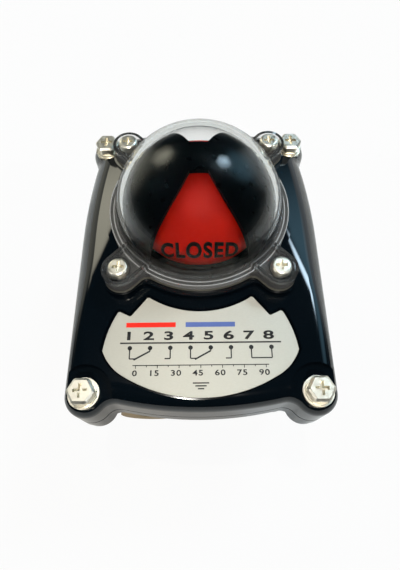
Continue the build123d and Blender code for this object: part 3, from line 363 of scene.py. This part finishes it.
def dome_words(name, words, azimuth, width, height):
    """Words printed on the indicator's round side, sagging at both ends as pad print does."""
    mesh = text_mesh(name, words, width, height, LETTER_WEIGHT)
    work = bmesh.new()
    work.from_mesh(mesh)
    bmesh.ops.triangulate(work, faces=work.faces)
    for _ in range(2):
        long_edges = [edge for edge in work.edges if edge.calc_length() > 1.2 * MM]
        bmesh.ops.subdivide_edges(work, edges=long_edges, cuts=1)
        bmesh.ops.triangulate(work, faces=work.faces)
    tilt = radians(17)
    radius = sector_radius + LETTER_LIFT
    facing = Vector((0, -cos(tilt), sin(tilt)))
    upward = Vector((0, sin(tilt), cos(tilt)))
    turn = Matrix.Rotation(azimuth, 3, "Z")
    for vertex in work.verts:
        x, y = vertex.co.x, vertex.co.y - LETTER_SAG * vertex.co.x**2
        depth = sqrt(radius**2 - x**2 - y**2)
        vertex.co = sector_centre + turn @ (facing * depth + Vector((x, 0, 0)) + upward * y)
    work.to_mesh(mesh)
    work.free()
    thicken(mesh, 0.03 * MM)
    return add_piece(name, mesh, print_ink, "shaft")


for side, half_turn in (("front", 0), ("rear", pi)):
    dome_words("closed_word_" + side, "CLOSED", half_turn, 26.2 * MM, 7.4 * MM)
    dome_words("open_word_" + side, "OPEN", half_turn + pi / 2, 20 * MM, 7.4 * MM)

# ---- generic print on the nameplate: terminal numbers and changeover contacts ---------------

PRINT_THICKNESS = 0.02 * MM
PRINT_LIFT = 0.03 * MM

# the layout of the print, in millimetres on the plate
PRINT_HALF_WIDTH = 26.5
MARK_ROW = -43.6
MARK_HEIGHT = 1.7
NUMBER_ROW = -47.4
NUMBER_HEIGHT = 3.1
NUMBER_WEIGHT = 0.03
RULE_ROW = -49.9
RULE_HEIGHT = 0.5
CONTACT_ROW = -51.6
CONTACT_DROP = 3.6
DOT_RADIUS = 0.75
LINE_WIDTH = 0.4
BLADE_WIDTH = 0.55
SCALE_ROW = -57.4
SCALE_LENGTH = 44
EARTH_ROW = -63.2
EARTH_STEP = 0.9
TERMINALS = 8
SCALE_ANGLES = ("0", "15", "30", "45", "60", "75", "90")
TERMINAL_PITCH = 2 * PRINT_HALF_WIDTH / TERMINALS
plate_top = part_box("nameplate")[1].z


def bar(work, x, y, width, height, angle=0.0):
    """A printed bar on the plate, in millimetres, optionally turned."""
    half = Vector((width / 2, height / 2, 0))
    corners = ((-half.x, -half.y), (half.x, -half.y), (half.x, half.y), (-half.x, half.y))
    turn = Matrix.Rotation(angle, 3, "Z")
    verts = [work.verts.new(turn @ Vector((*corner, 0)) + Vector((x, y, 0))) for corner in corners]
    work.faces.new(verts)


def stroke(work, start, end, width):
    """A printed line between two points on the plate."""
    run = Vector(end) - Vector(start)
    middle = (Vector(start) + Vector(end)) / 2
    bar(work, middle.x, middle.y, run.length, width, run.angle_signed(Vector((1, 0))))


def dot(work, x, y, radius):
    """A printed filled dot."""
    bmesh.ops.create_circle(work, cap_ends=True, segments=24, radius=radius,
                            matrix=Matrix.Translation((x, y, 0)))


def terminal_x(index):
    """Centre of a terminal's column on the plate."""
    return (index - (TERMINALS - 1) / 2) * TERMINAL_PITCH


def changeover(work, first, top, drop):
    """One changeover contact: three stems under their terminals, the blade on the first."""
    left, middle, right = (terminal_x(first + step) for step in range(3))
    for x in (left, right):
        stroke(work, (x, top), (x, top - drop), LINE_WIDTH)
        foot_end = x + copysign(1.8, middle - x)
        stroke(work, (x, top - drop), (foot_end, top - drop), LINE_WIDTH)
    hinge = top - 0.3 * drop
    stroke(work, (middle, top), (middle, hinge), LINE_WIDTH)
    stroke(work, (middle, hinge), (left + 1.4, top - 1.1 * drop), BLADE_WIDTH)
    for x in (left, middle, right):
        dot(work, x, top, DOT_RADIUS)


def print_piece(name, work, material):
    """Lays the drawing on the plate as a thin sheet of ink."""
    mesh = bpy.data.meshes.new(name)
    work.to_mesh(mesh)
    work.free()
    mesh.transform(Matrix.Translation((0, 0, plate_top + PRINT_LIFT)) @ Matrix.Scale(MM, 4))
    thicken(mesh, PRINT_THICKNESS)
    return add_piece(name, mesh, material, "case")


def row_of_text(work, words, y, width, height, weight):
    """A row of figures centred on the plate."""
    row = text_mesh("row", words, width, height, weight)
    row.transform(Matrix.Translation((0, y, 0)))
    work.from_mesh(row)
    bpy.data.meshes.remove(row)


def angle_scale(work, top, length):
    """A quarter-turn scale: a rule with ticks and its angles below."""
    bar(work, 0, top, length, 0.3)
    ticks = len(SCALE_ANGLES) * 2 - 1
    for index in range(ticks):
        x = (index / (ticks - 1) - 0.5) * (length - 2)
        drop = 1.0 if index % 2 == 0 else 0.6
        stroke(work, (x, top), (x, top - drop), 0.24)
    row_of_text(work, "   ".join(SCALE_ANGLES), top - 2.5, length, 1.9, 0.02)


def black_print():
    """Bold terminal numbers over a rule, two changeover contacts, a spare pair and a scale."""
    work = bmesh.new()
    numbers = " ".join(str(index + 1) for index in range(TERMINALS))
    row_of_text(work, numbers, NUMBER_ROW, 2 * PRINT_HALF_WIDTH - 4.4, NUMBER_HEIGHT,
                NUMBER_WEIGHT)
    bar(work, 0, RULE_ROW, 2 * PRINT_HALF_WIDTH, RULE_HEIGHT)
    changeover(work, 0, CONTACT_ROW, CONTACT_DROP)
    changeover(work, 3, CONTACT_ROW, CONTACT_DROP)
    spare_foot = CONTACT_ROW - CONTACT_DROP
    for index in (6, 7):
        x = terminal_x(index)
        dot(work, x, CONTACT_ROW, DOT_RADIUS)
        stroke(work, (x, CONTACT_ROW), (x, spare_foot), LINE_WIDTH)
    stroke(work, (terminal_x(6), spare_foot), (terminal_x(7), spare_foot), LINE_WIDTH)
    angle_scale(work, SCALE_ROW, SCALE_LENGTH)
    for index in range(3):
        bar(work, 0, EARTH_ROW - EARTH_STEP * index, 5.2 - 1.6 * index, LINE_WIDTH)
    return print_piece("plate_print", work, print_ink)


def colour_print(name, material, first):
    """The coloured bar that marks one switch's three terminals."""
    work = bmesh.new()
    bar(work, terminal_x(first + 1), MARK_ROW, 2.5 * TERMINAL_PITCH, MARK_HEIGHT)
    return print_piece(name, work, material)


black_print()
colour_print("plate_red", materials["red_plastic"], 0)
colour_print("plate_blue", materials["lead_sleeve"], 3)

# ---- camera -------------------------------------------------------------------------------

CAMERA_PITCH = 64.8
CAMERA_ROLL = -0.6
CAMERA_PLACE = (0, -93.3 * MM, 188 * MM)
CAMERA_LENS = 27.28

camera_data = bpy.data.cameras.new("camera")
camera = bpy.data.objects.new("camera", camera_data)
bpy.context.scene.collection.objects.link(camera)
bpy.context.scene.camera = camera
camera_data.lens = CAMERA_LENS
camera_data.clip_start = 0.01
camera_data.clip_end = 20
camera.matrix_world = (
    Matrix.Translation(CAMERA_PLACE)
    @ Matrix.Rotation(radians(90 - CAMERA_PITCH), 4, "X")
    @ Matrix.Rotation(radians(CAMERA_ROLL), 4, "Z")
)

# ---- floor, world and lamps ---------------------------------------------------------------

FLOOR_DROP = 1 * MM
FLOOR_RADIUS = 0.45
FLOOR_COLOUR = (0.62, 0.62, 0.61, 1)
PAPER_SHARE = 0.92


def sees_paper(tree):
    """1 for rays from the camera, straight or through clear plastic, before any other bounce."""
    rays = tree.nodes.new("ShaderNodeLightPath")
    bounces = math_node(tree, "ADD", rays.outputs["Glossy Depth"], rays.outputs["Diffuse Depth"])
    direct = math_node(tree, "LESS_THAN", bounces, 0.5)
    seen = math_node(tree, "MAXIMUM", rays.outputs["Is Camera Ray"],
                     rays.outputs["Is Transmission Ray"])
    return math_node(tree, "MULTIPLY", seen, direct)


def backdrop_material():
    """A pale floor that the camera sees as white paper with a trace of the object's shadow."""
    material, tree, shader = start_material("backdrop")
    tree.nodes.remove(shader)
    diffuse = tree.nodes.new("ShaderNodeBsdfDiffuse")
    diffuse.inputs["Color"].default_value = FLOOR_COLOUR
    glow = tree.nodes.new("ShaderNodeEmission")
    glow.inputs["Color"].default_value = (1, 1, 1, 1)
    mix = tree.nodes.new("ShaderNodeMixShader")
    tree.links.new(math_node(tree, "MULTIPLY", sees_paper(tree), PAPER_SHARE), mix.inputs["Fac"])
    tree.links.new(diffuse.outputs[0], mix.inputs[1])
    tree.links.new(glow.outputs[0], mix.inputs[2])
    tree.links.new(mix.outputs[0], tree.nodes["Material Output"].inputs["Surface"])
    return material


def floor():
    """A wide pale floor just under the lowest point of the part."""
    work = bmesh.new()
    bmesh.ops.create_circle(work, cap_ends=True, segments=96, radius=FLOOR_RADIUS)
    mesh = bpy.data.meshes.new("floor")
    work.to_mesh(mesh)
    work.free()
    mesh.materials.append(backdrop_material())
    plane = bpy.data.objects.new("floor", mesh)
    plane.location.z = cad_box[0][2] - FLOOR_DROP
    bpy.context.scene.collection.objects.link(plane)


def soft_spot(tree, direction, inner, outer, colour):
    """A soft-edged bright patch of the studio round one direction, angles in degrees."""
    place = tree.nodes.new("ShaderNodeTexCoord")
    closeness = tree.nodes.new("ShaderNodeVectorMath")
    closeness.operation = "DOT_PRODUCT"
    closeness.inputs[1].default_value = Vector(direction).normalized()
    fade = tree.nodes.new("ShaderNodeMapRange")
    fade.interpolation_type = "SMOOTHSTEP"
    fade.inputs["From Min"].default_value = cos(radians(outer))
    fade.inputs["From Max"].default_value = cos(radians(inner))
    tint_of_patch = tree.nodes.new("ShaderNodeVectorMath")
    tint_of_patch.operation = "SCALE"
    tint_of_patch.inputs[0].default_value = colour
    tree.links.new(place.outputs["Generated"], closeness.inputs[0])
    tree.links.new(closeness.outputs["Value"], fade.inputs["Value"])
    tree.links.new(fade.outputs["Result"], tint_of_patch.inputs["Scale"])
    return tint_of_patch.outputs["Vector"]


def studio_world():
    """A dim studio with a few soft bright patches: what gloss black and clear plastic mirror."""
    world = bpy.data.worlds.new("studio")
    bpy.context.scene.world = world
    world.use_nodes = True
    tree = world.node_tree
    background = tree.nodes["Background"]
    total = None
    for direction, inner, outer, colour in STUDIO_PATCHES:
        patch = soft_spot(tree, direction, inner, outer, colour)
        if total is None:
            total = patch
            continue
        join = tree.nodes.new("ShaderNodeVectorMath")
        tree.links.new(total, join.inputs[0])
        tree.links.new(patch, join.inputs[1])
        total = join.outputs["Vector"]
    mix = tree.nodes.new("ShaderNodeMix")
    mix.data_type = "RGBA"
    mix.inputs["B"].default_value = (1, 1, 1, 1)
    tree.links.new(sees_paper(tree), mix.inputs["Factor"])
    tree.links.new(total, mix.inputs["A"])
    tree.links.new(mix.outputs["Result"], background.inputs["Color"])
    background.inputs["Strength"].default_value = 1.0


# direction, full-strength and vanishing angle in degrees, and light of each patch
STUDIO_PATCHES = (
    ((0, 0, 1), 60, 180, (0.02, 0.03, 0.038)),
    ((-1, 0.75, 0.05), 8, 24, (0.7, 0.68, 0.56)),
    ((1, 0.75, 0.05), 8, 24, (0.6, 0.66, 0.69)),
    ((-0.58, 0.66, 0.48), 2, 14, (4.6, 4.4, 3.5)),
    ((0.46, 0.47, 0.75), 1, 9, (16.0, 21.0, 25.0)),
    ((0.70, 0.47, 0.50), 4, 22, (0.6, 1.2, 1.6)),
)


def key_lamp(name, direction, strength, colour):
    """A distant lamp without a size, so that it makes no picture of itself in the clear dome."""
    data = bpy.data.lights.new(name, "SUN")
    data.energy = strength
    data.color = colour
    data.angle = 0
    lamp = bpy.data.objects.new(name, data)
    lamp.rotation_euler = Vector(direction).to_track_quat("Z", "Y").to_euler()
    bpy.context.scene.collection.objects.link(lamp)


floor()
studio_world()
key_lamp("front_key", (0.05, -0.55, 0.83), 2.2, (1.0, 0.96, 0.90))
key_lamp("top_key", (-0.04, 0.20, 0.98), 0.6, (1.0, 0.97, 0.90))
key_lamp("left_fill", (-0.8, -0.3, 0.45), 0.5, (1.0, 0.98, 0.94))
key_lamp("right_fill", (0.8, -0.3, 0.45), 0.5, (0.94, 0.97, 1.0))

bpy.context.scene.view_settings.view_transform = "Standard"
